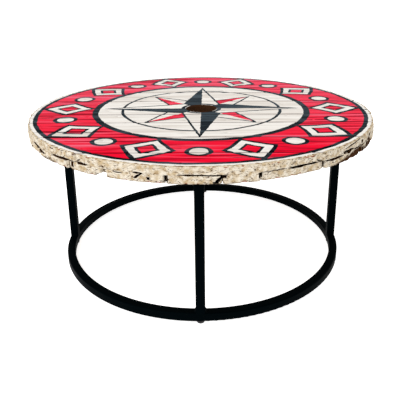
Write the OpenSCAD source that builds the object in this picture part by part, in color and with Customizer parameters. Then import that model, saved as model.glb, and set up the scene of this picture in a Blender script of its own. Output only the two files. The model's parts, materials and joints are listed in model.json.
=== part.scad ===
// Cable reel coffee table: a nailed two-ply board flange on a welded drum base of square tube.
// The origin is on the floor under the middle of the flange, with +Z up and the front at -Y.

/* [Flange] */
// Diameter of the round board top
flange_d = 914.4; // [870:2:1000]
// Thickness of each of the two layers of boards
ply_t = 19; // [14:0.5:28]
// Gap between neighbouring boards
seam_gap = 1.5; // [0.5:0.1:4]
// Diameter of the arbor bore in the middle
bore_d = 80; // [50:1:86]
// Most that a board's end stands back from the full circle
end_wear = 3; // [0:0.5:8]
// Worn chamfer round the upper rim
arris = 2.5; // [0.5:0.5:6]
// Size of the corners knocked off where a seam meets the rim
corner_chip = 6; // [1:0.5:12]

/* [Nails] */
// Diameter of a nail's shank
nail_d = 2.8; // [2:0.1:4]
// Diameter of a nail's flat head
nail_head_d = 7; // [5:0.5:10]
// Thickness of a nail's head
nail_head_t = 1.2; // [0.8:0.1:2]
// Wood left below a nail's point
nail_cover = 3; // [1:0.5:8]
// Least distance of a nail from the rim, the bore or a screw
nail_edge = 18; // [12:1:30]
// Gap all round a nail, a screw or a stem in its hole
fit_gap = 0.1; // [0.05:0.05:0.3]

/* [Base frame] */
// Outer diameter of the two rings
ring_d = 787; // [700:1:840]
// Side of the square tube
tube = 22.2; // [16:0.1:30]
// Wall of the square tube
wall = 1.5; // [1.2:0.1:2.5]
// Outer radius of the square tube's rounded corners
tube_corner = 2.5; // [1:0.5:4]
// Length of a leg between the rings
leg_len = 326; // [200:2:600]
// Size of the weld fillets
weld = 4; // [2:0.5:6]
// Diameter of the vent hole from a ring into a leg
vent_d = 8; // [4:1:10]

/* [Mounting tabs] */
// Angle of a tab from the left or right leg
tab_angle = 30; // [20:1:60]
// Width of a tab along the ring
tab_w = 40; // [24:1:60]
// Reach of a tab from the ring's inner face
tab_reach = 30; // [20:1:45]
// Thickness of a tab
tab_t = 4; // [3:0.5:6]
// Diameter of a mounting screw's shank
screw_d = 5; // [4:0.5:6]
// Diameter of a mounting screw's head
screw_head_d = 10; // [8:0.5:14]
// Height of a mounting screw's head
screw_head_h = 3.5; // [2:0.5:5]
// Wood left above a mounting screw's point
screw_cover = 3; // [2:0.5:6]

/* [Glides] */
// Diameter of a glide
glide_d = 20; // [16:1:24]
// Height that the glides lift the lower ring off the floor
glide_h = 8; // [6:0.5:15]
// Diameter of the flat that meets the floor
glide_flat_d = 12; // [6:1:14]
// Height of the straight rim above the domed foot
glide_rim = 3; // [1:0.5:5]
// Diameter of a glide's stem
glide_stem_d = 8; // [5:0.5:10]
// Length of a glide's stem
glide_stem_len = 12; // [5:1:14]

/* [Hidden] */
// Widths of the upper boards from front to back, fitted together to the flange
top_widths = [84, 110, 122, 79, 149, 113, 115, 142];
// Widths of the lower boards from left to right, fitted together to the flange
under_widths = [91, 91, 80, 131, 112, 76, 140, 99, 94];
// Places broken out of the boards' ends: board, end, middle and width as shares of the board's
// width, and depth
top_breaks = [[1, -1, 0.4, 0.25, 5], [2, 1, 0.6, 0.25, 5], [4, -1, 0.85, 0.15, 4], [5, 1, 0.3, 0.3, 5],
    [6, -1, 0.6, 0.3, 5]];
under_breaks = [[0, -1, 0.5, 0.3, 9], [2, -1, 0.85, 0.5, 10], [5, -1, 0.03, 0.14, 12],
    [7, -1, 0.8, 0.5, 8], [3, 1, 0.3, 0.2, 8], [6, 1, 0.55, 0.25, 7]];
// Legs, glides and their angles
leg_names = ["front", "right", "back", "left"];
leg_angles = [-90, 0, 90, 180];
tab_angles = [tab_angle, 180 - tab_angle, 180 + tab_angle, 360 - tab_angle];

// Depth that a cut reaches past the face it opens in
past = 1;
// Facets of the wide rounds, and of the small ones
wide_fn = 180;
$fn = 40;

flange_r = flange_d / 2;
bore_r = bore_d / 2;
ring_r = ring_d / 2;
ring_in_r = ring_r - tube;
leg_r = ring_r - tube / 2;
leg_z = glide_h + tube;
top_ring_z = leg_z + leg_len;
under_z = top_ring_z + tube;
top_z = under_z + ply_t;
flange_top = top_z + ply_t;
tab_z = under_z - tab_t;
inner_corner = max(tube_corner - wall, wall / 5);
flat_w = tube - 2 * tube_corner;
screw_r = ring_in_r - tab_reach / 2;
screw_len = tab_t + ply_t - screw_cover;
nail_len = 2 * ply_t - nail_head_t - nail_cover;
screw_spots = [for (a = tab_angles) screw_r * [cos(a), sin(a)]];
// Angle that a tab's weld takes up along the ring, a little less than the tab's width
tab_arc = 2 * asin((tab_w / 2 - weld) / ring_in_r);
// Angle that the welds in front of a leg and behind it take up
fill_arc = 2 * asin(flat_w / 2 / ring_r);

// Sum of the first n widths
function sum_of(widths, n) = n == 0 ? 0 : widths[n - 1] + sum_of(widths, n - 1);

// Place of the nth line between boards, counted across the flange from its edge
function seam(widths, n) = flange_d * (sum_of(widths, n) / sum_of(widths, len(widths)) - 0.5);

function board_mid(widths, i) = (seam(widths, i) + seam(widths, i + 1)) / 2;
function board_w(widths, i) = seam(widths, i + 1) - seam(widths, i) - seam_gap;

// A number from 0 to 1 that wear follows from place to place
function uneven(angle) = 0.5 + 0.5 * sin(angle);

// The board across the middle keeps the full radius, and the others stand back unevenly
function end_r(widths, i) =
    abs(board_mid(widths, i)) < board_w(widths, i) / 2 ? flange_r
    : flange_r - end_wear * uneven(137 * i);

// Corner chips differ from corner to corner, down to a third of the largest
function chip_size(i, side, end) =
    corner_chip * (1 + 2 * uneven(97 * i + 140 * side + 70 * end)) / 3;

function clear_of(p, spots) = min([for (s = spots) norm(p - s)]) > nail_edge;

// Two nails on the diagonal of the crossing of upper board i and lower board j,
// a quarter of each board's width off its middle
function nails_at(i, j) = [
    for (k = [-1, 1])
        let (p = [board_mid(under_widths, j) + k * board_w(under_widths, j) / 4,
                  board_mid(top_widths, i) + k * board_w(top_widths, i) / 4])
            if (norm(p) < flange_r - nail_edge && norm(p) > bore_r + nail_edge
                && clear_of(p, screw_spots)) p];

// One board along X, with its underside at z = 0: a strip cut from the worn round blank
module board(widths, i, rim_chamfer, breaks) {
    r = end_r(widths, i);
    w = board_w(widths, i);
    mid = board_mid(widths, i);
    difference() {
        intersection() {
            rotate_extrude($fn = wide_fn)
                polygon([[0, 0], [r, 0], [r, ply_t - rim_chamfer], [r - rim_chamfer, ply_t], [0, ply_t]]);
            translate([-flange_r, mid - w / 2, -past])
                cube([flange_d, w, ply_t + 2 * past]);
        }
        for (side = [-1, 1], end = [-1, 1])
            let (y = mid + side * w / 2)
                if (abs(y) < r - w / 2)
                    translate([end * sqrt(r * r - y * y), y, ply_t / 2])
                        rotate(45)
                            cube([chip_size(i, side, end), chip_size(i, side, end),
                                  ply_t + 2 * past], center = true);
        for (b = breaks)
            if (b[0] == i)
                let (y = mid + (b[2] - 0.5) * w, x = b[1] * sqrt(r * r - y * y))
                    translate([x, y, ply_t / 2])
                        rotate(atan2(y, x))
                            cube([2 * b[4], b[3] * w, ply_t + 2 * past], center = true);
        translate([0, 0, -past])
            cylinder(r = bore_r, h = ply_t + 2 * past, $fn = wide_fn);
    }
}

// A nail's shape from the flange's upper face down, or with a gap the hole that takes it
module nail(gap) {
    translate([0, 0, flange_top - nail_head_t - nail_len - gap])
        cylinder(d = nail_d + 2 * gap, h = nail_len + 2 * gap);
    translate([0, 0, flange_top - nail_head_t - gap])
        cylinder(d = nail_head_d + 2 * gap, h = nail_head_t + gap + (gap > 0 ? past : 0));
}

// A mounting screw's shape, or with a gap the hole that takes its shank
module screw(gap) {
    translate([0, 0, tab_z - (gap > 0 ? past : 0)])
        cylinder(d = screw_d + 2 * gap, h = screw_len + gap + (gap > 0 ? past : 0));
    if (gap == 0)
        translate([0, 0, tab_z - screw_head_h])
            rotate_extrude()
                intersection() {
                    square([screw_head_d, screw_head_h]);
                    translate([0, screw_head_h])
                        scale([screw_head_d / 2 / screw_head_h, 1])
                            circle(r = screw_head_h);
                }
}

module top_board(i) {
    color(i % 2 == 0 ? "crimson" : "firebrick")
        difference() {
            translate([0, 0, top_z])
                board(top_widths, i, arris, top_breaks);
            for (j = [0 : len(under_widths) - 1], p = nails_at(i, j))
                translate(p) nail(fit_gap);
        }
}

module under_board(i) {
    color(i % 2 == 0 ? "wheat" : "tan")
        difference() {
            translate([0, 0, under_z])
                mirror([1, -1, 0])
                    board(under_widths, i, 0, under_breaks);
            for (j = [0 : len(top_widths) - 1], p = nails_at(j, i))
                translate(p) nail(fit_gap);
            for (p = screw_spots)
                translate(p) screw(fit_gap);
        }
}

module flange_nails() {
    color("dimgray")
        for (i = [0 : len(top_widths) - 1], j = [0 : len(under_widths) - 1], p = nails_at(i, j))
            translate(p) nail(0);
}

module rounded_square(size, corner) {
    translate([0, corner]) square([size, size - 2 * corner]);
    translate([corner, 0]) square([size - 2 * corner, size]);
    for (x = [corner, size - corner], y = [corner, size - corner])
        translate([x, y]) circle(r = corner);
}

// Cross section of the square tube
module tube_section() {
    difference() {
        rounded_square(tube, tube_corner);
        translate([wall, wall]) rounded_square(tube - 2 * wall, inner_corner);
    }
}

module square_ring() {
    rotate_extrude($fn = wide_fn)
        translate([ring_in_r, 0]) tube_section();
}

// The lower ring has a vent up into each leg and a hole below it for the glide's stem
module bottom_ring() {
    color("black")
        difference() {
            translate([0, 0, glide_h]) square_ring();
            for (a = leg_angles)
                rotate(a) translate([leg_r, 0, 0]) {
                    translate([0, 0, leg_z - wall - past])
                        cylinder(d = vent_d, h = wall + 2 * past);
                    translate([0, 0, glide_h - past])
                        cylinder(d = glide_stem_d + 2 * fit_gap, h = wall + 2 * past);
                }
        }
}

module top_ring() {
    color("black")
        difference() {
            translate([0, 0, top_ring_z]) square_ring();
            for (a = leg_angles)
                rotate(a)
                    translate([leg_r, 0, top_ring_z - past])
                        cylinder(d = vent_d, h = wall + 2 * past);
        }
}

module leg(angle) {
    color("black")
        rotate(angle)
            translate([ring_in_r, -tube / 2, leg_z])
                linear_extrude(leg_len) tube_section();
}

// What fills the groove between a leg's end and a ring's rounded corner, outside or inside
module corner_fill(inside) {
    rotate(-fill_arc / 2)
        rotate_extrude(angle = fill_arc, $fn = wide_fn)
            translate([inside ? ring_in_r + tube_corner : ring_r - tube_corner, -tube_corner])
                mirror([inside ? 1 : 0, 0])
                    difference() {
                        square(tube_corner);
                        circle(r = tube_corner);
                    }
}

// Fillets lie on both sides of a leg at each ring, and under each tab
module frame_welds() {
    color("dimgray") {
        for (a = leg_angles, end = [0, 1])
            rotate(a)
                translate([0, 0, leg_z + end * leg_len])
                    mirror([0, 0, end]) {
                        for (side = [0, 1])
                            mirror([0, side, 0])
                                translate([leg_r - flat_w / 2, tube / 2, 0])
                                    rotate([90, 0, 90])
                                        linear_extrude(flat_w)
                                            polygon([[0, 0], [weld, 0], [0, weld]]);
                        corner_fill(true);
                        corner_fill(false);
                    }
        for (a = tab_angles)
            rotate(a - tab_arc / 2)
                translate([0, 0, tab_z])
                    rotate_extrude(angle = tab_arc, $fn = wide_fn)
                        polygon([[ring_in_r, 0], [ring_in_r - weld, 0], [ring_in_r, -weld]]);
    }
}

module mounting_tab(angle) {
    color("black")
        difference() {
            intersection() {
                rotate(angle)
                    translate([ring_in_r - tab_reach, -tab_w / 2, tab_z])
                        cube([2 * tab_reach, tab_w, tab_t]);
                translate([0, 0, tab_z])
                    cylinder(r = ring_in_r, h = tab_t, $fn = wide_fn);
            }
            rotate(angle)
                translate([screw_r, 0, 0]) screw(fit_gap);
        }
}

module mounting_screws() {
    color("silver")
        for (p = screw_spots)
            translate(p) screw(0);
}

module glide(angle) {
    color("black")
        rotate(angle)
            translate([leg_r, 0, 0])
                rotate_extrude()
                    polygon(concat(
                        [[0, 0]],
                        [for (t = [0 : 15 : 90])
                            [glide_flat_d / 2 + (glide_d - glide_flat_d) / 2 * sin(t),
                             (glide_h - glide_rim) * (1 - cos(t))]],
                        [[glide_d / 2, glide_h], [glide_stem_d / 2, glide_h],
                         [glide_stem_d / 2, glide_h + glide_stem_len], [0, glide_h + glide_stem_len]]));
}

for (i = [0 : len(top_widths) - 1])
    top_board(i);
for (i = [0 : len(under_widths) - 1])
    under_board(i);
flange_nails();
top_ring();
bottom_ring();
for (i = [0 : len(leg_names) - 1])
    leg(leg_angles[i]);
frame_welds();
for (i = [0 : len(tab_angles) - 1])
    mounting_tab(tab_angles[i]);
mounting_screws();
for (i = [0 : len(leg_names) - 1])
    glide(leg_angles[i]);
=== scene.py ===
import functools
import json
import math
import random

import bmesh
import bpy
from mathutils import Matrix, Vector, noise


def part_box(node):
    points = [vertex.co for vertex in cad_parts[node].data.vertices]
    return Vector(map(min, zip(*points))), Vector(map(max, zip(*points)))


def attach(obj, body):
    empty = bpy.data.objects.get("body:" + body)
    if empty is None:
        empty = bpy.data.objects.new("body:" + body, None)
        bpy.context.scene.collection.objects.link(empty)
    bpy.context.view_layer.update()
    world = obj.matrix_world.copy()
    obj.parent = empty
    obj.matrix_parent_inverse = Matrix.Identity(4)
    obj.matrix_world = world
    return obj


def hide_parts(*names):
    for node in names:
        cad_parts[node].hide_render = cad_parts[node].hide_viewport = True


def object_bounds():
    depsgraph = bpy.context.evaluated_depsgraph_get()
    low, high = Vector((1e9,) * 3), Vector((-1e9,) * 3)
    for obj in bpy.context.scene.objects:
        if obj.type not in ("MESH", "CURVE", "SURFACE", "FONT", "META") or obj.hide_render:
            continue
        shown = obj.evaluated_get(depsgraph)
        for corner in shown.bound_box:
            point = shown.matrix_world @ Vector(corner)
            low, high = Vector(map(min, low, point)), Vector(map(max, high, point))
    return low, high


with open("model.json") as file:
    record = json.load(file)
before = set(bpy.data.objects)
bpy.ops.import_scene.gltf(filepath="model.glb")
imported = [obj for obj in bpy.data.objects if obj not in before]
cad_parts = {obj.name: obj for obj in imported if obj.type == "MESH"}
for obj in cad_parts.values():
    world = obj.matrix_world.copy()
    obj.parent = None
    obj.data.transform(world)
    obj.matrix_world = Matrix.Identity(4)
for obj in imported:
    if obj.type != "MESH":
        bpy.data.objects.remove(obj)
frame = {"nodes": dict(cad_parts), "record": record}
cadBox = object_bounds()
print("frame loaded with", len(frame["nodes"]), "nodes")

mm = 0.001
flangeRadius = cadBox[1].x
levels = {layer: [corner.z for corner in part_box(layer + "_board_5")] for layer in ("top", "under")}
topLow, topHigh = levels["top"]
underLow = levels["under"][0]
boreMount = next(m for m in frame["record"]["mounts"] if m["name"] == "arbor_bore")
boreRadius = boreMount["dims"]["r_mm"] * mm


# The photograph's camera, even soft light and a white floor

sceneSet = {
    "cameraPlace": (0.0244, -1.4270, 0.7816),
    "cameraPitch": 18.58,  # degrees below the horizon
    "cameraRoll": 0.27,  # degrees that the camera leans to the right
    "lens": 47.62,
    "shift": (-0.0258, -0.1315),
    "worldLight": 0.68,
    "worldColour": "FFFFFF",
    "keyLight": 1.7,
    "keyTurn": (50, -35),  # degrees off the vertical, and towards the left
    "keySize": 50,  # degrees across, for soft shadows
    "floorColour": "FAFAFA",
    "floorGlow": (0.35, 0.5),  # what lights the object, and what lifts the floor to plain white
    "floorWidth": 80.0,
}


def linearColour(hexColour):
    parts = [int(hexColour[i : i + 2], 16) / 255 for i in (0, 2, 4)]
    return [p / 12.92 if p <= 0.04045 else ((p + 0.055) / 1.055) ** 2.4 for p in parts] + [1]


def linearColours(hexColours):
    return [linearColour(hexColour) for hexColour in hexColours]


def addNode(tree, kind, *values, sockets=None, **settings):
    node = tree.nodes.new("ShaderNode" + kind)
    for key, value in settings.items():
        setattr(node, key, value)
    shown = [socket for socket in node.inputs if socket.enabled]
    pairs = list(zip(shown, values)) + [(node.inputs[key], v) for key, v in (sockets or {}).items()]
    for socket, value in pairs:
        if isinstance(value, bpy.types.Node):
            value = next(output for output in value.outputs if output.enabled)
        if isinstance(value, bpy.types.NodeSocket):
            tree.links.new(value, socket)
        else:
            socket.default_value = value
    return node


def newMaterial(name, *attributes):
    # A material, what adds its nodes, the place on the object in mm and the attributes that it reads
    material = bpy.data.materials.new(name)
    material.use_nodes = True
    material.node_tree.nodes.clear()
    add = functools.partial(addNode, material.node_tree)
    place = add("VectorMath", add("TexCoord").outputs["Object"], [1 / mm] * 3, operation="MULTIPLY")
    reads = [add("Attribute", attribute_name=attribute).outputs["Fac"] for attribute in attributes]
    return material, add, place, *reads


def coverWith(add, colour, roughness, shine, relief, strength, distance):
    # A surface that isn't bare metal, with its relief
    bump = add("Bump", sockets={"Height": relief, "Strength": strength, "Distance": distance})
    surface = add("BsdfPrincipled", colour,
                  sockets={"Roughness": roughness, "Specular IOR Level": shine, "Normal": bump})
    add("OutputMaterial", surface)


def putInOrder(shape):
    # Some tools leave corners and faces in another order in each run, and cuts depend on it
    for parts, place in ((shape.verts, lambda vert: vert.co),
                         (shape.edges, lambda edge: edge.verts[0].co + edge.verts[1].co),
                         (shape.faces, lambda face: face.calc_center_median())):
        for i, part in enumerate(sorted(parts, key=lambda part: tuple(place(part)))):
            part.index = i
        parts.sort()


def makePiece(name, shape, materials, smoothAngle=30):
    putInOrder(shape)
    mesh = bpy.data.meshes.new(name)
    shape.to_mesh(mesh)
    shape.free()
    for material in materials:
        mesh.materials.append(material)
    mesh.shade_smooth()
    mesh.set_sharp_from_angle(angle=math.radians(smoothAngle))
    piece = bpy.data.objects.new(name, mesh)
    bpy.context.scene.collection.objects.link(piece)
    return piece


def setCamera():
    camera = bpy.data.objects.new("camera", bpy.data.cameras.new("camera"))
    camera.data.lens = sceneSet["lens"]
    camera.data.shift_x, camera.data.shift_y = sceneSet["shift"]
    tilt = Matrix.Rotation(math.radians(90 - sceneSet["cameraPitch"]), 4, "X")
    lean = Matrix.Rotation(math.radians(-sceneSet["cameraRoll"]), 4, "Z")
    camera.matrix_world = Matrix.Translation(sceneSet["cameraPlace"]) @ tilt @ lean
    bpy.context.scene.collection.objects.link(camera)
    bpy.context.scene.camera = camera


def setLight():
    bpy.context.scene.view_settings.view_transform = "Standard"
    world = bpy.data.worlds.new("paleRoom")
    world.use_nodes = True
    room = world.node_tree.nodes["Background"]
    room.inputs["Color"].default_value = linearColour(sceneSet["worldColour"])
    room.inputs["Strength"].default_value = sceneSet["worldLight"]
    bpy.context.scene.world = world
    key = bpy.data.objects.new("keyLight", bpy.data.lights.new("keyLight", "SUN"))
    key.data.energy = sceneSet["keyLight"]
    key.data.angle = math.radians(sceneSet["keySize"])
    lift, turn = (math.radians(angle) for angle in sceneSet["keyTurn"])
    key.rotation_euler = (lift, 0, turn)
    bpy.context.scene.collection.objects.link(key)


def layFloor():
    # Matt white, with a glow that lights the object from below and lifts the floor to plain white, with
    # hardly a shadow
    material, add, _ = newMaterial("glowingMattFloor")
    paint = add("BsdfDiffuse", linearColour(sceneSet["floorColour"]))
    rays = add("LightPath").outputs
    seen = add("Math", rays["Is Camera Ray"], rays["Is Glossy Ray"], operation="ADD")
    seen = add("Math", seen, rays["Is Transmission Ray"], operation="ADD")
    lit, lift = sceneSet["floorGlow"]
    seen = add("Math", seen, lift, lit, operation="MULTIPLY_ADD")
    glow = add("Emission", linearColour(sceneSet["floorColour"]), seen)
    add("OutputMaterial", add("AddShader", paint, glow))
    shape = bmesh.new()
    bmesh.ops.create_grid(shape, x_segments=1, y_segments=1, size=sceneSet["floorWidth"] / 2)
    makePiece("floor", shape, [material])


setCamera()
setLight()
layFloor()
print("camera, light and floor set")


# Sign enamel on the upper boards: sizes in mm, angles in degrees. Where a noise becomes a mask, the values
# are the noise at which it is least and most, and how strong it is there, or else nothing and whole

signSet = {
    "wobble": (3.0, 0.035),  # how far a hand-held brush strays, and how often per mm
    # Grain, brush marks and broad bands: how many per mm along and across a board, and how detailed
    "streaks": ((0.012, 0.4, 3.0), (0.005, 0.085, 3.0), (0.0025, 0.03, 2.0)),
    "rim": (440.5, 5.5),  # middle and half width of the outer slate line
    "medallion": (288, 8.5),  # the same of the line round the middle
    "bandMiddle": 366,
    "lozenges": 10,
    "lozengeHalf": (54, 60),  # along and across the band
    "heart": 0.42,  # where a lozenge's red heart starts, as a share of the way to its middle
    "heartLine": 0.7,  # how wide the line round a heart is, as a share of the outline
    "discRadius": 21,
    "outline": 10,
    "points": ((188, 45, "red"), (244, 0, "slate")),  # reach, turn and colour of the compass points
    "pointLine": 6,
    "valley": 62,  # how far out two points meet
    "thinRing": (216, 4),
    "boreRing": (50, 5),
    "red": ("F5042F", "98061F", "F4718A"),  # as painted, in dark streaks, and pale: in pale streaks, faded, and with painted sheen towards the back
    "cream": ("F3EEE7", "D9D0C6"),
    "slate": ("050E14", "4B575F"),
    "fadeAndSheen": (-360.0, 300.0, 0.0, 0.45),  # from where to where in Y the paint is paler, partly faded and partly painted sheen, and how much
    "paleStreaks": (1.04, 1.32, 0.0, 0.8),
    "darkStreaks": (0.46, 0.32),
    "greyCream": (0.9, 1.25),
    "greySlate": (0.9, 1.2, 0.0, 0.6),
    "wood": ("B99C74", "5F4229"),
    "flakeSize": (0.07, 0.22, 1),  # flakes per mm along and across a board
    "flaked": (0.7, 0.73),
    "scuffed": ("DDCDAE", "74512C"),
    "scuff": (6, -1),  # how far in from the rim the enamel starts to be scuffed off, and is gone
    "scuffEdge": (0.72, 0.76),
    "rubbed": (0.45, 0.6),
    "grimeAndShadeTone": (0.16, 0.12, 0.12),  # how much of each colour comes through the grime and painted shade
    "roughness": 0.8,
    "shine": 0.02,  # old enamel gone chalky
}


def signEnamel():
    # Sign painter's enamel brushed by hand on rough sawn boards: matt, streaked along the grain, with
    # pale and dark brush lines, flaked to bare wood in specks, and grimy with painted shade where boards
    # meet
    s = signSet
    material, add, place, board, worn, grimeAndShade = newMaterial("brushedSignEnamel", "boardSeed", "worn", "grimeAndShade")
    flat = add("VectorMath", place, (1, 1, 0), operation="MULTIPLY")
    stray, often = s["wobble"]
    drift = add("TexNoise", flat, sockets={"Scale": often, "Detail": 3.0})
    drift = add("VectorMath", drift.outputs["Color"], (0.5, 0.5, 0.5), operation="SUBTRACT")
    drift = add("VectorMath", drift, (stray * 2, stray * 2, 0), operation="MULTIPLY")
    hand = add("VectorMath", flat, drift, operation="ADD")
    radius = add("VectorMath", hand, operation="LENGTH")
    parts = add("SeparateXYZ", hand)
    angle = add("Math", parts.outputs["Y"], parts.outputs["X"], operation="ARCTAN2")

    # Streaks of three widths, each board with its own
    shift = add("CombineXYZ", board, 0.0, board)
    streaks = []
    for along, across, detail in s["streaks"]:
        grain = add("VectorMath", flat, (along, across, 1), operation="MULTIPLY")
        grain = add("VectorMath", grain, shift, operation="ADD")
        streaks.append(add("TexNoise", grain, sockets={"Scale": 1.0, "Detail": detail}))
    fine, brush, broad = streaks
    bands = add("Math", broad, brush, operation="ADD")

    # The paint is paler towards the back, partly faded and partly painted sheen, and most in the pale
    # streaks; the slate is lighter there too
    across = add("SeparateXYZ", flat).outputs["Y"]
    fadeAndSheen = add("MapRange", across, *s["fadeAndSheen"])
    pale = add("MapRange", bands, *s["paleStreaks"])
    pale = add("Math", pale, fadeAndSheen, operation="ADD")
    pureRed, darkRed, paleRed = linearColours(s["red"])
    dark = add("MapRange", brush, *s["darkStreaks"])
    red = add("Mix", pale, pureRed, paleRed, data_type="RGBA")
    red = add("Mix", dark, red, darkRed, data_type="RGBA")
    creams = linearColours(s["cream"])
    grey = add("MapRange", bands, *s["greyCream"])
    cream = add("Mix", grey, *creams, data_type="RGBA")
    grey = add("MapRange", bands, *s["greySlate"])
    grey = add("Math", grey, fadeAndSheen, operation="ADD")
    slate = add("Mix", grey, *linearColours(s["slate"]), data_type="RGBA")

    # The band: lozenges with a red heart, and discs between them
    sector = math.pi / s["lozenges"]
    offBand = add("Math", radius, s["bandMiddle"], operation="SUBTRACT")
    alongs = []
    for turn in (0, sector):
        turned = add("Math", angle, turn, operation="ADD")
        folded = add("Math", turned, sector, -sector, operation="WRAP")
        alongs.append(add("Math", folded, s["bandMiddle"], operation="MULTIPLY"))
    halfAlong, halfAcross = s["lozengeHalf"]
    lozenge = add("Math", alongs[0], operation="ABSOLUTE")
    lozenge = add("Math", lozenge, -1 / halfAlong, 1.0, operation="MULTIPLY_ADD")
    across = add("Math", offBand, operation="ABSOLUTE")
    lozenge = add("Math", across, -1 / halfAcross, lozenge, operation="MULTIPLY_ADD")
    line = s["outline"] * math.hypot(1 / halfAlong, 1 / halfAcross)
    disc = add("CombineXYZ", alongs[1], offBand, 0.0)
    disc = add("VectorMath", disc, operation="LENGTH")
    disc = add("Math", s["discRadius"], disc, operation="SUBTRACT")

    coats = [(lozenge, -line, slate), (lozenge, 0.0, cream), (lozenge, s["heart"], slate),
             (lozenge, s["heart"] + line * s["heartLine"], red), (disc, -s["outline"], slate),
             (disc, 0.0, cream)]

    # The middle: a compass rose, each point split into two halves
    inward = add("Math", s["medallion"][0], radius, operation="SUBTRACT")
    onRing = add("Math", radius, *s["thinRing"], operation="COMPARE")
    coats += [(inward, 0.0, cream), (onRing, 0.5, slate)]
    for reach, turn, name in s["points"]:
        turned = add("Math", angle, math.radians(turn), operation="ADD")
        folded = add("Math", turned, math.pi / 4, -math.pi / 4, operation="WRAP")
        waves = [add("Math", folded, operation=wave) for wave in ("COSINE", "SINE")]
        outward, sideways = (add("Math", wave, radius, operation="MULTIPLY") for wave in waves)
        slope = s["valley"] * math.sin(math.pi / 4) / (reach - s["valley"])
        point = add("Math", outward, -slope, reach * slope, operation="MULTIPLY_ADD")
        off = add("Math", sideways, operation="ABSOLUTE")
        point = add("Math", point, off, operation="SUBTRACT")
        half = add("Math", sideways, 0.0, operation="GREATER_THAN")
        filled = add("Mix", half, cream, red if name == "red" else slate, data_type="RGBA")
        coats += [(point, -s["pointLine"], slate), (point, 0.0, filled)]
    for ring in (s["boreRing"], s["medallion"], s["rim"]):
        coats.append((add("Math", radius, *ring, operation="COMPARE"), 0.5, slate))
    coats.append((radius, sum(s["rim"]), creams[0]))
    colour = red
    for field, level, coat in coats:
        inside = add("Math", field, level, operation="GREATER_THAN")
        colour = add("Mix", inside, colour, coat, data_type="RGBA")

    # Wear: flakes down to bare wood, and grime with painted shade in seams and cracks
    wood = add("Mix", fine, *linearColours(s["wood"]), data_type="RGBA")
    flakes = add("VectorMath", flat, s["flakeSize"], operation="MULTIPLY")
    flakes = add("TexNoise", flakes, sockets={"Scale": 1.0, "Detail": 6.0, "Roughness": 0.62})
    worn = add("Math", worn, 0.25, flakes, operation="MULTIPLY_ADD")
    worn = add("MapRange", worn, *s["flaked"])
    colour = add("Mix", worn, colour, wood, data_type="RGBA")
    scuffed = add("VectorMath", flat, operation="LENGTH")
    start, gone = (flangeRadius / mm - depth for depth in s["scuff"])
    scuffed = add("MapRange", scuffed, start, gone, 0.0, 0.5)
    scuffed = add("Math", scuffed, flakes, operation="ADD")
    scuffed = add("MapRange", scuffed, *s["scuffEdge"])
    rubbed = add("MapRange", flakes, *s["rubbed"])
    rubbed = add("Mix", rubbed, *linearColours(s["scuffed"]), data_type="RGBA")
    colour = add("Mix", scuffed, colour, rubbed, data_type="RGBA")
    dark = add("VectorMath", colour, s["grimeAndShadeTone"], operation="MULTIPLY")
    colour = add("Mix", grimeAndShade, colour, dark, data_type="RGBA")
    ridges = add("Math", fine, brush, operation="ADD")
    coverWith(add, colour, s["roughness"], s["shine"], ridges, 0.6, 0.5 * mm)
    return material


# Whitewash on the rim and bare wood behind it: sizes in mm, patterns per mm in X, Y and Z

edgeSet = {
    "wash": ("DCD2C0", "B59C74"),  # where it is thick, and where it is thin
    "patchSize": 0.05,
    "thin": (0.8, 1.35, 0.0, 0.85),
    "stain": "74542F",
    "gritSize": (0.17, 0.17, 0.42),
    "stained": (0.55, 0.7, 0.0, 0.9),
    "speck": "3E2612",
    "lineSize": (0.045, 0.045, 0.12),
    "lineWidth": (0.022, 0.010),
    "lineBreaks": (0.42, 0.52),
    "lowerEdgeDarkening": (3.5, 0.6),  # how high up the lower edge is darker, in mm, and how much
    # Darker patches that rise from the lower edge, and the range over which they darken
    "risingDarkPatch": "3A2007",
    "risingDarkPatchRange": (0.75, 1.25),
    "flake": "93503A",
    "flaked": (0.3, 0.4),
    "wood": ("A78C66", "6E5538"),
    "sawMarks": (0.5, 0.5, 0.08),
    "bore": "3A2313",
    "boreDepth": 6,  # how far into the wood the bore is dark with stain and painted shade
    # Grime and painted shade where boards meet
    "grimeAndShadeTone": "120C07",
    "washDepth": 16,  # how far in from the rim the whitewash went
    "washEnd": 0.6,  # the share of that depth at which it is whole
    "roughness": 0.85,
    "shine": 0.04,
    # Torn wood at the mouth of a hole, and the painted shade deeper in
    "torn": ("3A2412", "060403"),
    "tornFibre": 0.4,
    "tornRoughness": 0.95,
    "tornDepth": 2,  # how far in from the rim painted shade turns a hole black
}


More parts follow.
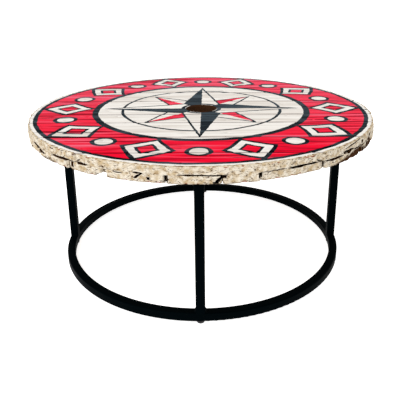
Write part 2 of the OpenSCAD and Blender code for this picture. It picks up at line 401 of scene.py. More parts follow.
def whitewashedPine():
    # Thin lime whitewash over weathered sawn pine: chalky cream with tan stains and dark specks on the
    # rim, and raw grey-brown wood behind it
    s = edgeSet
    material, add, place, hollow, risingDarkPatch, worn, grimeAndShade = newMaterial(
        "limewashedSawnPine", "hollow", "risingDarkPatch", "worn", "grimeAndShade")
    patches = add("TexNoise", place, sockets={"Scale": s["patchSize"], "Detail": 5.0, "Roughness": 0.6})
    grit = add("VectorMath", place, s["gritSize"], operation="MULTIPLY")
    grit = add("TexNoise", grit,
               sockets={"Scale": 1.0, "Detail": 4.0, "Roughness": 0.62, "Distortion": 0.5})
    saw = add("VectorMath", place, s["sawMarks"], operation="MULTIPLY")
    saw = add("TexNoise", saw, sockets={"Scale": 1.0, "Detail": 3.0})

    # The wash is thin in the hollows, and dirt has drawn thin brown lines round the raised fibres
    thin = add("Math", patches, hollow, operation="ADD")
    thin = add("MapRange", thin, *s["thin"])
    colour = add("Mix", thin, *linearColours(s["wash"]), data_type="RGBA")
    stain = add("MapRange", grit, *s["stained"])
    lines = add("VectorMath", place, s["lineSize"], operation="MULTIPLY")
    lines = add("TexNoise", lines, sockets={"Scale": 1.0, "Detail": 2.0, "Distortion": 0.6})
    lines = add("Math", lines, 0.52, operation="SUBTRACT")
    lines = add("Math", lines, operation="ABSOLUTE")
    lines = add("MapRange", lines, *s["lineWidth"])
    broken = add("MapRange", grit, *s["lineBreaks"])
    lines = add("Math", lines, broken, operation="MULTIPLY")

    # The lower edge is darker, with darker patches rising from it, and chipped corners show old red paint
    height, strength = s["lowerEdgeDarkening"]
    level = add("SeparateXYZ", place).outputs["Z"]
    level = add("Math", patches, -height * 2, level, operation="MULTIPLY_ADD")
    lower = underLow / mm - height
    low = add("MapRange", level, lower + height, lower, 0.0, strength)
    risingDarkPatch = add("Math", risingDarkPatch, grit, operation="ADD")
    risingDarkPatch = add("MapRange", risingDarkPatch, *s["risingDarkPatchRange"])
    flake = add("Math", worn, grit, operation="MULTIPLY")
    flake = add("MapRange", flake, *s["flaked"])
    for mask, tone in ((stain, "stain"), (lines, "speck"), (low, "speck"), (risingDarkPatch, "risingDarkPatch"),
                       (flake, "flake")):
        colour = add("Mix", mask, colour, linearColour(s[tone]), data_type="RGBA")

    # Raw wood further in, dark round the bore with stain and painted shade, and grime with painted shade
    # over all
    raw = add("Mix", saw, *linearColours(s["wood"]), data_type="RGBA")
    flat = add("VectorMath", place, (1, 1, 0), operation="MULTIPLY")
    radius = add("VectorMath", flat, operation="LENGTH")
    # Dark stain and painted shade in the bore
    inBore = add("Math", radius, boreRadius / mm + s["boreDepth"], operation="LESS_THAN")
    raw = add("Mix", inBore, raw, linearColour(s["bore"]), data_type="RGBA")
    edge = flangeRadius / mm
    atRim = add("MapRange", radius, edge - s["washDepth"], edge - s["washDepth"] * s["washEnd"])
    colour = add("Mix", atRim, raw, colour, data_type="RGBA")
    colour = add("Mix", grimeAndShade, colour, linearColour(s["grimeAndShadeTone"]), data_type="RGBA")
    rough = add("Math", saw, grit, operation="ADD")
    coverWith(add, colour, s["roughness"], s["shine"], rough, 0.7, 0.8 * mm)
    return material


def tornPine():
    # Pine torn open along its fibres: orange brown at the mouth of a hole and black with painted shade
    # inside it
    s = edgeSet
    material, add, place = newMaterial("tornPineInPaintedShade")
    fibre = add("TexNoise", place, sockets={"Scale": s["tornFibre"], "Detail": 4.0})
    flat = add("VectorMath", place, (1, 1, 0), operation="MULTIPLY")
    radius = add("VectorMath", flat, operation="LENGTH")
    radius = add("Math", fibre, s["tornDepth"] / 2, radius, operation="MULTIPLY_ADD")
    edge = flangeRadius / mm
    inside = add("MapRange", radius, edge, edge - s["tornDepth"])
    colour = add("Mix", inside, *linearColours(s["torn"]), data_type="RGBA")
    coverWith(add, colour, s["tornRoughness"], 0.0, fibre, 0.8, mm)
    return material


# The boards, sawn round: a rough rim, layers that gape, chipped corners and cracks

boardSet = {
    "attributes": ("grimeAndShade", "worn", "hollow", "risingDarkPatch", "boardSeed"),
    "seeds": (3.7, 50),  # from one board to the next, and more in the lower layer
    "arcPoints": 1300,  # round the whole top
    "edgeStep": 6 * mm,
    "loops": (0.4 * mm, 0.5 * mm, 0.6 * mm, 0.7 * mm),  # rows of faces beside the upper and lower edges
    "rows": (0, 0.04, 0.1, 0.18, 0.3, 0.45, 0.6, 0.75, 0.88, 0.96, 1),  # up the side, from the joint
    "grainStep": (25 * mm, 2.6 * mm),  # between lines across a board, and along it
    "grainStart": 24 * mm,  # how far in from the rim, where a line no longer runs along it
    "grainSnap": 0.3 * mm,
    "poleRoom": 10 * mm,  # a board whose edge comes nearer to the rim than this has no seam there
    "cornerCut": {"top": (1.5 * mm, 3.5 * mm), "under": (5.5 * mm, 8 * mm)},
    "cornerRoom": 2.3,  # the least that keeps the loops apart at a corner
    "cornerBend": 10,  # degrees from which a bend counts as a corner
    "reach": 30 * mm,  # how far in from the rim the wear moves the wood
    "proud": 2.2 * mm,  # how far the unplaned rim stands out of the true round
    "endShift": 1.6 * mm,  # how much that varies between the ends of boards
    "wave": (90 * mm, 1.8 * mm),  # size across and depth of the rim's unevenness
    "rough": (10 * mm, 1.8 * mm),
    "pits": (4 * mm, 1.0 * mm),
    "chip": (12 * mm, 6.5 * mm, 0.22, 3.2 * mm),  # size, depth, the noise from which it starts, and most
    "chipShare": 0.8,  # how much of its height a chip goes inwards
    "chipRun": 1.6,  # how many times its height a chip slopes inwards at most
    "chipBare": (0.8 * mm, 4 * mm),  # how much more than the usual wear shows wood, and how far in
    "wornPart": {"top": (0.7, 1), "under": (0, 0.25)},  # where up a board its outer edge wears
    "arris": 0.7 * mm,
    # Where a dark patch rising from the lower edge fades out
    "risingDarkPatchBorder": (0.5, 1.1),
    "splitDepth": 13 * mm,
    "splitHalf": 1.9 * mm,
    "splitSteps": 2.5,  # in each degree
    "splitRagged": (13 * mm, 0.7, 0.4),  # size of its unevenness, and how much of it in height and depth
    "splitWander": (30 * mm, 1.2 * mm),
    "splitWidths": (2.2, 1, 0.15),  # shares of its width outside, at the rim and at its deepest
    "splitEnds": 0.35,  # the less, the blunter the ends
    "facet": (0.3, 1.5),  # how far in a bite's corners lie at most, and how seldom
    "darkBite": 13,  # in mm: a bite as wide as this lets the light in
    "overcut": 2 * mm,  # how far a bite at a board's edge goes past it
    "backBites": 26,  # on the side that the photograph doesn't show
    "outside": 9 * mm,  # how far a cutter reaches out of the rim
    "crackStep": 5 * mm,
    "crackJitter": (9 * mm, 0.7),
    "crackWander": (45 * mm, 2.5 * mm),
    "crackWidths": (1.3, 0.15),  # above and below, as shares of its width
    "boreSteps": 128,
    "boreWear": (9 * mm, 0.7),  # size across, and depth in mm
    "nudges": (0, 0.06, -0.09, 0.13, -0.17),  # in mm: how much further on a cutter is tried
    "slack": 0.4e-6,  # cubic metres that a volume may be off, because wide faces are split anew
    "shortEdge": 0.002 * mm,
    "seamOpen": (60 * mm, 1.3 * mm),
    "seamReach": 8 * mm,
    "seamDrop": 1.6 * mm,
    "seamWorn": (4 * mm, 0.3),  # how far from a seam the paint is worn, and how much
    "seamGrimeAndShade": (0.75, 0.25, 0.4 * mm),  # grime and painted shade in any seam, and more in one that is open this wide
    "seamShut": (0.55 * mm, 25 * mm),  # how much narrower a seam is at the rim, and from how far in
    "ridge": 0.35 * mm,
    "ridgeSize": (110 * mm, 5 * mm),
    "ridgeStart": 3 * mm,
}
# Stretches of the rim where the wood gapes: from and to in degrees, how much, and in mm how far above
# the joint of the layers it starts and ends
splits = [(-148.5, -139.3, 1.8, 0.5, -7.5), (-134.6, -125.8, 0.9, 0, 0.5),
          (-125.3, -122.8, 0.8, -0.5, 9), (-124.3, -120.3, 0.8, 1.5, 0), (-112.5, -109.5, 0.4, -1, -3),
          (-106.8, -104, 0.8, 0.5, 0), (-106.5, -104.2, 1.1, -11.5, -0.5), (-95.2, -83.2, 0.8, 1, -0.5),
          (-85.9, -83.4, 2.2, -15.5, -2.5), (-74.1, -67, 0.45, 0.4, 1.5), (-66.6, -56.6, 1.2, 0.5, 0.5),
          (-57.6, -55, 0.9, 7, -0.5), (-54.5, -46.5, 0.9, -2.5, -2.5), (-46.8, -41, 1.5, 3.5, 2.5),
          (-46, -37, 0.7, 11.5, 18), (-41, -33, 0.9, 1, -1), (-20, 4, 0.5, 0, 0), (22, 38, 0.8, 0, 1),
          (44, 47, 0.9, -2, 9), (61, 78, 0.6, 0, 0), (97, 118, 0.9, 0, 0), (120, 123, 0.8, -12, -2),
          (142, 151, 0.5, 0, -4), (163, 178, 0.8, 0, 0)]
# Pieces broken out of the rim: layer, angle, width and depth in mm, and from where to where up the side
bites = [("under", -125.6, 7, 15, 0.35, 1.0), ("under", -132.6, 8, 5, 0.0, 0.22),
         ("under", -116.7, 17, 24, 0.0, 0.42), ("under", -115.0, 14, 24, 0.0, 0.78),
         ("under", -114.9, 7, 14, 0.66, 0.98), ("under", -102.6, 7, 12, 0.3, 0.62),
         ("under", -98.0, 8, 15, 0.2, 1.0), ("under", -83.7, 12, 14, 0.7, 1.0),
         ("under", -85.6, 12, 12, 0.02, 0.26), ("under", -74.2, 9, 14, 0.35, 1.0),
         ("under", -54.7, 10, 16, 0.2, 1.0), ("top", -44.4, 10, 12, 0.0, 0.3),
         ("under", -44, 9, 12, 0.8, 1.0), ("top", -35.4, 12, 14, 0.15, 0.6),
         ("under", -31.5, 12, 14, 0.4, 0.95), ("top", -28, 12, 14, 0.3, 0.7),
         ("under", -34.6, 12, 14, 0.25, 0.7), ("under", -160, 22, 8, 0.0, 0.5),
         ("top", -157, 14, 6, 0.4, 0.8)]
# Cracks along the upper boards: board, from and to in X, place in Y, width and depth, all in mm
cracks = [(3, -398, -205, -222, 5.5, 10), (1, 60, 180, -405, 3, 7), (3, 250, 400, -180, 2.5, 7),
          (5, 330, 448, 20, 2.5, 6), (4, -449, -330, -98, 2, 5), (6, -380, -250, 150, 2.5, 6),
          (7, 120, 330, 262, 2.5, 6), (8, -180, -60, 372, 2.5, 6)]
# Darker patches rising from the lower edge: middle and half width in degrees, height in mm, strength
risingDarkPatches = [(-39, 15, 26, 1.0), (-29, 9, 34, 0.8), (-136, 9, 12, 0.6), (-115.5, 3, 14, 0.6),
          (150, 14, 12, 0.7), (70, 9, 16, 0.6)]


def spreadBites():
    # The side that the photograph doesn't show is worn in the same way
    draw = random.Random(7)
    for _ in range(boardSet["backBites"]):
        layer = draw.choice(("top", "under"))
        low = draw.choice((0.0, 0.0, 0.45))
        angle, width, depth = draw.uniform(-15, 195), draw.uniform(4, 22), draw.uniform(5, 12)
        bites.append((layer, angle, width, depth, low, low + 0.6))


def smoothStep(value, low, high):
    share = max(0.0, min(1.0, (value - low) / (high - low)))
    return share * share * (3 - 2 * share)


def isAtPole(limit):
    # Whether a board's edge is the rim itself, so that no seam runs there
    return abs(limit) > flangeRadius - boardSet["poleRoom"]


def uneven(place, setting, seed):
    # Noise with the size and depth of a setting
    size, depth = boardSet[setting][:2]
    return depth * noise.noise(place / size + Vector((seed, 0, seed * 0.7)))


def rimWear(place, seed, endShift):
    # How far a point of the rim lies inside the round, and how hollow the wood is there
    small = uneven(place, "rough", seed) + uneven(place, "pits", seed)
    hollow = 0.5 + small / (boardSet["rough"][1] + boardSet["pits"][1])
    return uneven(place, "wave", seed) + small - boardSet["proud"] - endShift, max(0.0, min(1.0, hollow))


def arrisWear(place, seed):
    # How far the sharp edge is worn away: a little everywhere, and more where a chip has come off
    _, depth, sound, most = boardSet["chip"]
    return min(most, boardSet["arris"] + max(0.0, uneven(place, "chip", seed + 40) - depth * sound))


def wearBoard(shape, layer, axis, limits, seed):
    s = boardSet
    grimeAndShade, worn, hollow, risingDarkPatch, boardSeed = (shape.verts.layers.float[key] for key in s["attributes"])
    bottom, top = levels[layer]
    draw = random.Random(seed * 3)
    along = Vector((axis.y, axis.x, 0))
    ends = [draw.uniform(-1, 1) * s["endShift"] for _ in range(2)]
    for vert in shape.verts:
        place = vert.co.copy()
        height = (place.z - bottom) / (top - bottom)
        depth = flangeRadius - place.xy.length
        move = Vector()
        vert[boardSeed] = seed
        if depth < s["reach"]:
            out = place.xy.normalized().to_3d()
            rim = out * flangeRadius
            loss, vert[hollow] = rimWear(rim + Vector((0, 0, place.z)), seed, ends[place.dot(along) > 0])
            chip = arrisWear(rim, seed)
            outer = smoothStep(height, *s["wornPart"][layer])
            outer = outer if layer == "top" else 1 - outer
            loss += chip * outer * s["chipShare"]
            near = 1 - smoothStep(depth, 0.02 * mm, s["reach"])
            move -= out * loss * near
            edge = (1 - smoothStep(depth, 0, min(chip * s["chipRun"], sum(s["loops"])))) * outer
            move.z -= chip * edge * (1 if layer == "top" else -1)
            chipped = smoothStep(chip, s["arris"], s["arris"] + s["chipBare"][0])
            vert[worn] = chipped * outer * (1 - smoothStep(depth, 0, s["chipBare"][1]))
            turn = math.degrees(math.atan2(place.y, place.x))
            # Darker patches that rise from the lower edge
            for middle, half, rise, strength in risingDarkPatches:
                up = (place.z - underLow) / (rise * mm) + abs(turn - middle) / half
                vert[risingDarkPatch] = max(vert[risingDarkPatch], strength * (1 - smoothStep(up, *s["risingDarkPatchBorder"])))
        for limit, way in zip(limits, (-1, 1)):
            toSeam = (limit - place.dot(axis)) * way
            if not isAtPole(limit) and toSeam < s["seamReach"]:
                opened = max(0.0, uneven(place, "seamOpen", seed + 11 * way))
                shut = 1 - smoothStep(depth, 0, s["seamShut"][1]) if layer == "top" else 0
                opened = opened * (1 - shut) - s["seamShut"][0] * shut
                move -= axis * way * opened * (1 - smoothStep(toSeam, 0, s["seamReach"]))
                if layer == "top":
                    upper = smoothStep(height, *s["wornPart"][layer])
                    worked = 1 - smoothStep(toSeam, 0, s["seamWorn"][0])
                    move.z -= s["seamDrop"] * worked * upper
                    # Grime and painted shade along the seam, darker where it is open wider
                    some, more, wide = s["seamGrimeAndShade"]
                    vert[grimeAndShade] = worked * upper * (some + more * smoothStep(opened, 0, wide))
                    vert[worn] = max(vert[worn], s["seamWorn"][1] * worked)
        if layer == "top" and height > 0.999 and depth > s["ridgeStart"]:
            length, width = s["ridgeSize"]
            move.z += s["ridge"] * noise.noise(Vector((place.x / length, place.y / width, seed)))
        vert.co = place + move


def cutAway(shape, point, outward):
    # Cut off what lies outside a plane
    bmesh.ops.bisect_plane(shape, geom=shape.verts[:] + shape.edges[:] + shape.faces[:], dist=1e-6,
                           plane_co=point, plane_no=outward, clear_outer=True)


def isCorner(vert):
    before, after = (edge.other_vert(vert).co for edge in vert.link_edges)
    return (vert.co - before).angle(after - vert.co) > math.radians(boardSet["cornerBend"])


def ruleGrain(shape, upper, limits):
    # Fine lines along the board and coarse ones across it, which then carry its ridges
    grain = shape.faces.layers.int["grain"]
    upper[grain] = 1
    across, along = boardSet["grainStep"]
    for axis, step, low, high in ((Vector((0, 1, 0)), along, *limits),
                                  (Vector((1, 0, 0)), across, -flangeRadius, flangeRadius)):
        for i in range(1, int((high - low) / step)):
            if abs(low + i * step) > flangeRadius - boardSet["grainStart"]:
                continue
            faces = [face for face in shape.faces if face[grain]]
            around = dict.fromkeys(part for face in faces for part in [*face.verts, *face.edges])
            bmesh.ops.bisect_plane(shape, geom=faces + list(around), dist=boardSet["grainSnap"],
                                   plane_co=axis * (low + i * step), plane_no=axis)


def sawOutline(shape, layer, axis, limits, bottom, seed):
    # A flat round, cut to the width of a board, with its sharp corners cut off
    s = boardSet
    bmesh.ops.create_circle(shape, cap_ends=True, segments=s["arcPoints"], radius=flangeRadius,
                            matrix=Matrix.Translation((0, 0, bottom)))
    draw = random.Random(seed)
    along = Vector((axis.y, axis.x, 0))
    for limit, way in zip(limits, (-1, 1)):
        if isAtPole(limit):
            continue
        cutAway(shape, axis * limit, axis * way)
        for end in (-1, 1):
            corner = axis * limit + along * end * math.sqrt(flangeRadius**2 - limit**2)
            slant = (axis * way + corner.normalized()).normalized()
            bend = slant.angle(axis * way)
            least = s["cornerRoom"] * sum(s["loops"]) * math.tan(bend / 2)
            width = max(draw.uniform(*s["cornerCut"][layer]), least)
            cutAway(shape, corner - slant * width / 2 * math.tan(bend), slant)
    corners = [vert for vert in shape.verts if isCorner(vert)]
    close = [vert for vert in shape.verts if vert not in corners
             and min((vert.co - corner.co).length for corner in corners) < sum(s["loops"])]
    bmesh.ops.dissolve_verts(shape, verts=close)
    for edge in [edge for edge in shape.edges if edge.calc_length() > 3 * s["edgeStep"]]:
        bmesh.ops.bisect_edges(shape, edges=[edge], cuts=int(edge.calc_length() / s["edgeStep"]))


def sawBoard(name, layer, axis, seed, materials):
    s = boardSet
    low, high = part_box(name)
    bottom, top = levels[layer]
    limits = (low.dot(axis), high.dot(axis))
    shape = bmesh.new()
    for key in s["attributes"]:
        shape.verts.layers.float.new(key)
    shape.faces.layers.int.new("grain")
    sawOutline(shape, layer, axis, limits, bottom, seed)
    raised = bmesh.ops.extrude_face_region(shape, geom=shape.faces[:])["geom"]
    bmesh.ops.translate(shape, verts=[v for v in raised if isinstance(v, bmesh.types.BMVert)],
                        vec=(0, 0, top - bottom))
    upright = [edge for edge in shape.edges if abs(edge.verts[0].co.z - edge.verts[1].co.z) > mm]
    bmesh.ops.subdivide_edges(shape, edges=upright, cuts=len(s["rows"]) - 2, use_grid_fill=True)
    bmesh.ops.recalc_face_normals(shape, faces=shape.faces[:])
    for vert in shape.verts:
        row = round((vert.co.z - bottom) / (top - bottom) * (len(s["rows"]) - 1))
        share = s["rows"][row] if layer == "top" else 1 - s["rows"][-1 - row]
        vert.co.z = bottom + share * (top - bottom)
    for face in shape.faces:
        face.material_index = 0 if layer == "top" and face.normal.z > 0.9 else len(materials) - 2
    caps = [face for face in shape.faces if abs(face.normal.z) > 0.9]
    for loop in s["loops"]:
        for cap in caps:
            bmesh.ops.inset_region(shape, faces=[cap], thickness=loop, use_even_offset=True,
                                   use_boundary=True)
    if layer == "top":
        ruleGrain(shape, max(caps, key=lambda cap: cap.normal.z), limits)
    wearBoard(shape, layer, axis, limits, seed)
    return makePiece(name.replace("board", "plank"), shape, materials)


def closedVolume(mesh):
    # None where the mesh is open
    shape = bmesh.new()
    shape.from_mesh(mesh)
    volume = shape.calc_volume() if all(edge.is_manifold for edge in shape.edges) else None
    shape.free()
    return volume


def makeCutter(shape, materials, inside):
    # A closed shape, whose faces give the cut its material
    bmesh.ops.recalc_face_normals(shape, faces=shape.faces[:])
    for face in shape.faces:
        face.material_index = materials.index(inside)
    return makePiece("cutter", shape, materials)


def combine(piece, cutter, operation, least, most):
    # Cut or join two closed pieces. Where the result is open, or its volume can't be right, it is made
    # again with the cutter a hair further on, and at last left out
    step = piece.modifiers.new(operation, "BOOLEAN")
    step.operation = operation
    step.solver = "EXACT"
    step.object = cutter
    clean = False
    for nudge in boardSet["nudges"]:
        cutter.location = [nudge * mm] * 3
        bpy.context.view_layer.update()
        result = bpy.data.meshes.new_from_object(piece.evaluated_get(bpy.context.evaluated_depsgraph_get()))
        mend = bmesh.new()
        mend.from_mesh(result)
        bmesh.ops.dissolve_degenerate(mend, dist=boardSet["shortEdge"], edges=mend.edges[:])
        loose = [vert for vert in mend.verts if not vert.link_faces]
        bmesh.ops.delete(mend, geom=loose, context="VERTS")
        putInOrder(mend)
        mend.to_mesh(result)
        mend.free()
        volume = closedVolume(result)
        clean = volume is not None and least < volume < most
        if clean:
            break
    piece.modifiers.clear()
    cutter.location = (0, 0, 0)
    if clean:
        piece.data = result
    else:
        print("no clean", operation.lower(), "in", piece.name)
    return clean


def carve(plank, cutters):
    # Join the cutters, because a board takes one cut better than many. Where that cut fails, they cut one
    # by one. New corners get the board's seed
    slack = boardSet["slack"]
    seed = max(item.value for item in plank.data.attributes["boardSeed"].data)
    whole = cutters[0].copy()
    bpy.context.scene.collection.objects.link(whole)
    for cutter in cutters[1:]:
        sizes = [closedVolume(part.data) for part in (whole, cutter)]
        combine(whole, cutter, "UNION", max(sizes) - slack, sum(sizes) + slack)
    for group in ([whole], cutters):
        done = []
        for cutter in group:
            volume = closedVolume(plank.data)
            least = volume - closedVolume(cutter.data) - slack
            done.append(combine(plank, cutter, "DIFFERENCE", least, volume + slack))
        if all(done):
            break
    for cutter in [whole, *cutters]:
        bpy.data.objects.remove(cutter)
    for item in plank.data.attributes["boardSeed"].data:
        item.value = seed


def turnProfile(shape, profile, steps):
    # Turn a line of (radius, height) points about the upright axis into a closed surface
    verts = [shape.verts.new((r, 0, z)) for r, z in profile]
    edges = [shape.edges.new(pair) for pair in zip(verts, verts[1:])]
    bmesh.ops.spin(shape, geom=verts + edges, cent=(0, 0, 0), axis=(0, 0, 1), angle=2 * math.pi,
                   steps=steps, use_merge=True)


def boreCutter():
    # A round hole whose upper and lower edges are worn wider
    shape = bmesh.new()
    spreads = ((underLow - 5 * mm, 1.05), (underLow, 1.05), (underLow + 2 * mm, 1.0),
               (topHigh - 3 * mm, 1.0), (topHigh - mm, 1.03), (topHigh + 0.5 * mm, 1.1),
               (topHigh + 5 * mm, 1.1))
    wall = [(boreRadius * spread, z) for z, spread in spreads]
    turnProfile(shape, [(0, wall[0][1]), *wall, (0, wall[-1][1])], boardSet["boreSteps"])
    bmesh.ops.remove_doubles(shape, verts=shape.verts[:], dist=0.01 * mm)
    size, depth = boardSet["boreWear"]
    for vert in shape.verts:
        vert.co += vert.co.xy.normalized().to_3d() * depth * mm * max(0, noise.noise(vert.co / size))
    return shape


def splitCutter(start, end, strength, low, high):
    # A gap along the rim, wide outside and thin inside: angles in degrees, heights over the joint in mm
    s = boardSet
    size, inHeight, inDepth = s["splitRagged"]
    wanderSize, wanderMost = s["splitWander"]
    shape = bmesh.new()
    steps = max(8, int((end - start) * s["splitSteps"]))
    face = None
    for i in range(steps + 1):
        angle = math.radians(start + (end - start) * i / steps)
        out = Vector((math.cos(angle), math.sin(angle), 0))
        ragged = noise.noise(out * flangeRadius / size)
        thin = max(0.01, math.sin(math.pi * i / steps)) ** s["splitEnds"]
        half = s["splitHalf"] * strength * thin * (1 + inHeight * ragged)
        wander = wanderMost * noise.noise(out * flangeRadius / wanderSize)
        middle = topLow + (low + (high - low) * i / steps) * mm + wander
        deep = flangeRadius - s["splitDepth"] * (0.8 + inDepth * ragged)
        above = list(zip((flangeRadius + s["outside"], flangeRadius, deep), s["splitWidths"]))
        below = [(r, -share) for r, share in above]
        corners = below[:1] + above + below[:0:-1]
        places = [out * r + Vector((0, 0, middle + half * share)) for r, share in corners]
        if face is None:
            face = shape.faces.new([shape.verts.new(place) for place in places])
            continue
        geom = bmesh.ops.extrude_face_region(shape, geom=[face])["geom"]
        if i > 1:
            bmesh.ops.delete(shape, geom=[face], context="FACES_ONLY")
        face = next(item for item in geom if isinstance(item, bmesh.types.BMFace))
        for vert, place in zip(face.verts, places):
            vert.co = place
    return shape


def biteCutter(middle, width, depth, low, high):
    # A chip with broken facets, from low to high up the rim: angle in degrees, sizes in metres
    shape = bmesh.new()
    draw = random.Random(middle)
    turn = Matrix.Rotation(math.radians(middle), 3, "Z")
    inner, outer = flangeRadius - depth, flangeRadius + boardSet["outside"]
    most, seldom = boardSet["facet"]
    for corner in range(8):
        far = [(corner >> i) & 1 for i in range(3)]
        for _ in range(3):
            x, y, z = (abs(side - draw.uniform(0, most) ** seldom) for side in far)
            place = (inner + (outer - inner) * x, width * (y - 0.5), low + (high - low) * z)
            shape.verts.new(turn @ Vector(place))
    hull = bmesh.ops.convex_hull(shape, input=shape.verts[:])
    unused = set(hull["geom_interior"] + hull["geom_unused"])
    bmesh.ops.delete(shape, geom=[vert for vert in shape.verts if vert in unused], context="VERTS")
    return shape


def rimCutters(layer, axis, limits):
    # One after another, the gaps and bites that reach a board, and whether painted shade makes them dark
    # inside
    bottom, top = levels[layer]
    for split in splits:
        places = [axis.x * math.cos(a) + axis.y * math.sin(a) for a in map(math.radians, split[:2])]
        if min(places) < limits[1] / flangeRadius and max(places) > limits[0] / flangeRadius:
            yield splitCutter(*split), True
    for biteLayer, middle, width, depth, low, high in bites:
        turn = math.radians(middle)
        place = (axis.x * math.cos(turn) + axis.y * math.sin(turn)) * flangeRadius
        if biteLayer == layer and limits[0] - width * mm < place < limits[1] + width * mm:
            ends = [bottom + (top - bottom) * share for share in (low, high)]
            ends[0] -= boardSet["overcut"] * (low == 0)
            ends[1] += boardSet["overcut"] * (high == 1)
            yield biteCutter(middle, width * mm, depth * mm, *ends), width < boardSet["darkBite"]


def crackCutter(crack):
    # A wedge as long as the crack, wide above and narrow below, that wanders a little
    _, start, end, middle, width, depth = (value * mm for value in crack)
    jitterSize, jitterMost = boardSet["crackJitter"]
    wanderSize, wanderMost = boardSet["crackWander"]
    shape = bmesh.new()
    bmesh.ops.create_cube(shape, size=1)
    lengths = [edge for edge in shape.edges if abs(edge.verts[0].co.x - edge.verts[1].co.x) > 0.5]
    cuts = int((end - start) / boardSet["crackStep"])
    bmesh.ops.subdivide_edges(shape, edges=lengths, cuts=cuts, use_grid_fill=True)
    for vert in shape.verts:
        share, side, upper = vert.co.x + 0.5, 2 * vert.co.y, vert.co.z > 0
        x = start + (end - start) * share
        thin = max(0.05, math.sin(math.pi * share) ** 0.6)
        jitter = 1 + jitterMost * noise.noise(Vector((x / jitterSize, middle, side)))
        half = width / 2 * thin * jitter * boardSet["crackWidths"][0 if upper else 1]
        wander = wanderMost * noise.noise(Vector((x / wanderSize, middle, 0)))
        vert.co = (x, middle + wander + side * half, topHigh + mm if upper else topHigh - depth * thin)
    return shape


def islandBoxes(name):
    # The lowest and highest corner of each separate solid in a node
    shape = bmesh.new()
    shape.from_mesh(frame["nodes"][name].data)
    bmesh.ops.remove_doubles(shape, verts=shape.verts[:], dist=0.001 * mm)
    waiting = set(shape.verts)
    boxes = []
    while waiting:
        found = [waiting.pop()]
        for vert in found:
            linked = {edge.other_vert(vert) for edge in vert.link_edges} & waiting
            waiting -= linked
            found += linked
        boxes.append([[pick(vert.co[i] for vert in found) for i in range(3)] for pick in (min, max)])
    shape.free()
    return sorted(boxes)


nailSet = {
    "steps": 14,
    "well": 0.6 * mm,  # room round a head, where the hammer crushed the wood
    "wellSlope": (0.9, 1.25),  # how wide a well is below and above
    "wellPlace": (0.6 * mm, 4 * mm),  # how far over the boards its cutter's middle lies, and its height
    "shank": 0.4,  # as a share of the head
    "lip": 1.2 * mm,
    "dome": 0.4 * mm,
    "sunk": (0.1 * mm, 0.7 * mm),
    "lean": 4,  # degrees at most
    "painted": 1.9 * mm,  # how far down the sign painter's brush reached
}


def wellCutter(spots):
    # A shallow cone for each nail head
    rise, depth = nailSet["wellPlace"]
    below, above = nailSet["wellSlope"]
    shape = bmesh.new()
    for low, high in spots:
        middle = Vector((low[0] + high[0], low[1] + high[1], 0)) / 2
        head = (high[0] - low[0]) / 2 + nailSet["well"]
        bmesh.ops.create_cone(shape, cap_ends=True, segments=nailSet["steps"], radius1=head * below,
                              radius2=head * above, depth=depth,
                              matrix=Matrix.Translation(middle + Vector((0, 0, topHigh + rise))))
    return shape


def driveNails(boxes, enamel, steel):
    # Flat headed wire nails, each sunk and leaning a little
    s = nailSet
    shape = bmesh.new()
    draw = random.Random(3)
    for low, high in boxes:
        head = (high[0] - low[0]) / 2
        length = high[2] - low[2]
        shank = head * s["shank"]
        lip = s["lip"]
        # Up from the point, along the shank and round the head
        profile = ((0, -length), (shank * 0.6, 2.5 * mm - length), (shank, 5 * mm - length), (shank, -lip),
                   (head * 0.9, -lip), (head, -lip * 0.6), (head * 0.96, -lip * 0.1),
                   (head * 0.6, s["dome"] * 0.8), (0, s["dome"]))
        turnProfile(shape, profile, s["steps"])
        place = Matrix.Translation(((low[0] + high[0]) / 2, (low[1] + high[1]) / 2,
                                    topHigh - draw.uniform(*s["sunk"])))
        lean = Matrix.Rotation(math.radians(draw.uniform(-s["lean"], s["lean"])), 4, "X")
        fresh = [vert for vert in shape.verts if not vert.tag]
        bmesh.ops.transform(shape, matrix=place @ lean, verts=fresh)
        for vert in fresh:
            vert.tag = True
    bmesh.ops.remove_doubles(shape, verts=shape.verts[:], dist=0.01 * mm)
    bmesh.ops.recalc_face_normals(shape, faces=shape.faces[:])
    for face in shape.faces:
        face.material_index = 0 if face.calc_center_median().z > topHigh - s["painted"] else 1
    return makePiece("nails", shape, [enamel, steel])


spreadBites()
enamel = signEnamel()
pine = whitewashedPine()
torn = tornPine()
nailBoxes = islandBoxes("flange_nails")
layers = (("top", Vector((0, 1, 0)), [enamel, pine, torn]), ("under", Vector((1, 0, 0)), [pine, torn]))
for layer, axis, materials in layers:
    names = [name for name in frame["nodes"] if name.startswith(layer + "_board")]
    for name in names:
        number = int(name.rsplit("_", 1)[1])
        seed = number * boardSet["seeds"][0] + (layer == "under") * boardSet["seeds"][1]
        plank = sawBoard(name, layer, axis, seed, materials)
        low, high = (corner.dot(axis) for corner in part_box(name))
        cuts = [(shape, torn if dark else pine) for shape, dark in rimCutters(layer, axis, (low, high))]
        if low < 0 < high:
            cuts.append((boreCutter(), pine))
        if layer == "top":
            cuts.append((wellCutter([box for box in nailBoxes if low < box[0][1] < high]), enamel))
            cuts += [(crackCutter(crack), torn) for crack in cracks if crack[0] == number]
        carve(plank, [makeCutter(shape, materials, inside) for shape, inside in cuts])
        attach(plank, "root")
        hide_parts(name)
    print(layer, "boards sawn:", len(names))


# Steel, powder coat and nylon

metalSet = {
    # Near black, with a faint teal tint that is a painted reflection of the room
    "coat": "000406",
    "coatRoughness": (0.42, 0.56),
    "coatShine": 0.007,  # worn satin that hardly mirrors the white room
    "zinc": ("B9BDC2", "8E9398"),
    "zincRoughness": (0.28, 0.45),
    "wire": ("3B3733", "5A3019"),  # drawn steel, and rust
    "wireRoughness": 0.7,
    "nylon": "131313",
    "nylonSheen": (0.45, 0.3),  # roughness and shine
}


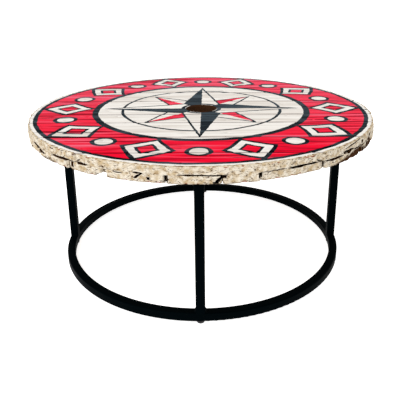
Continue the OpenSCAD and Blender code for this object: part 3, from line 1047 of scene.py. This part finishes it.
def powderCoat():
    # Black polyester powder baked on mild steel: satin, with a faint orange peel about 2 mm across, and a
    # faint teal tint in its colour that is painted reflection
    material, add, place = newMaterial("satinPowderCoatedSteel")
    peel = add("TexNoise", place, sockets={"Scale": 0.5, "Detail": 2.0})
    wear = add("TexNoise", place, sockets={"Scale": 0.02, "Detail": 4.0})
    rough = add("MapRange", wear, 0.3, 0.7, *metalSet["coatRoughness"])
    coverWith(add, linearColour(metalSet["coat"]), rough, metalSet["coatShine"], peel, 0.12, 0.2 * mm)
    return material


def zincPlate():
    # Bright zinc plate on cold headed screws: greyish metal with dull patches
    material, add, place = newMaterial("zincPlatedSteel")
    dull = add("TexNoise", place, sockets={"Scale": 0.3, "Detail": 4.0})
    colour = add("Mix", dull, *linearColours(metalSet["zinc"]), data_type="RGBA")
    rough = add("MapRange", dull, 0.3, 0.7, *metalSet["zincRoughness"])
    metal = add("BsdfPrincipled", colour, sockets={"Metallic": 1.0, "Roughness": rough})
    add("OutputMaterial", metal)
    return material


def nailSteel():
    # Plain drawn wire steel, rusted brown in the wood
    material, add, place = newMaterial("rustedWireSteel")
    patches = add("TexNoise", place, sockets={"Scale": 0.4, "Detail": 5.0})
    rust = add("MapRange", patches, 0.4, 0.6)
    colour = add("Mix", rust, *linearColours(metalSet["wire"]), data_type="RGBA")
    metal = add("BsdfPrincipled", colour,
                sockets={"Metallic": 0.4, "Roughness": metalSet["wireRoughness"]})
    add("OutputMaterial", metal)
    return material


def mouldedNylon():
    # Black moulded nylon: soft sheen with a fine spark-eroded texture
    material, add, place = newMaterial("mouldedNylon")
    spark = add("TexNoise", place, sockets={"Scale": 2.0, "Detail": 3.0})
    coverWith(add, linearColour(metalSet["nylon"]), *metalSet["nylonSheen"], spark, 0.2, 0.1 * mm)
    return material


nails = driveNails(nailBoxes, enamel, nailSteel())
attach(nails, "root")
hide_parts("flange_nails")

finishes = {
    ("top_ring", "bottom_ring", "leg", "frame_welds", "mounting_tab"): powderCoat(),
    ("mounting_screws",): zincPlate(),
    ("glide",): mouldedNylon(),
}
for names, finish in finishes.items():
    for name, piece in frame["nodes"].items():
        if name.startswith(names):
            for slot in piece.material_slots:
                slot.material = finish
print("steel, screws and glides finished")
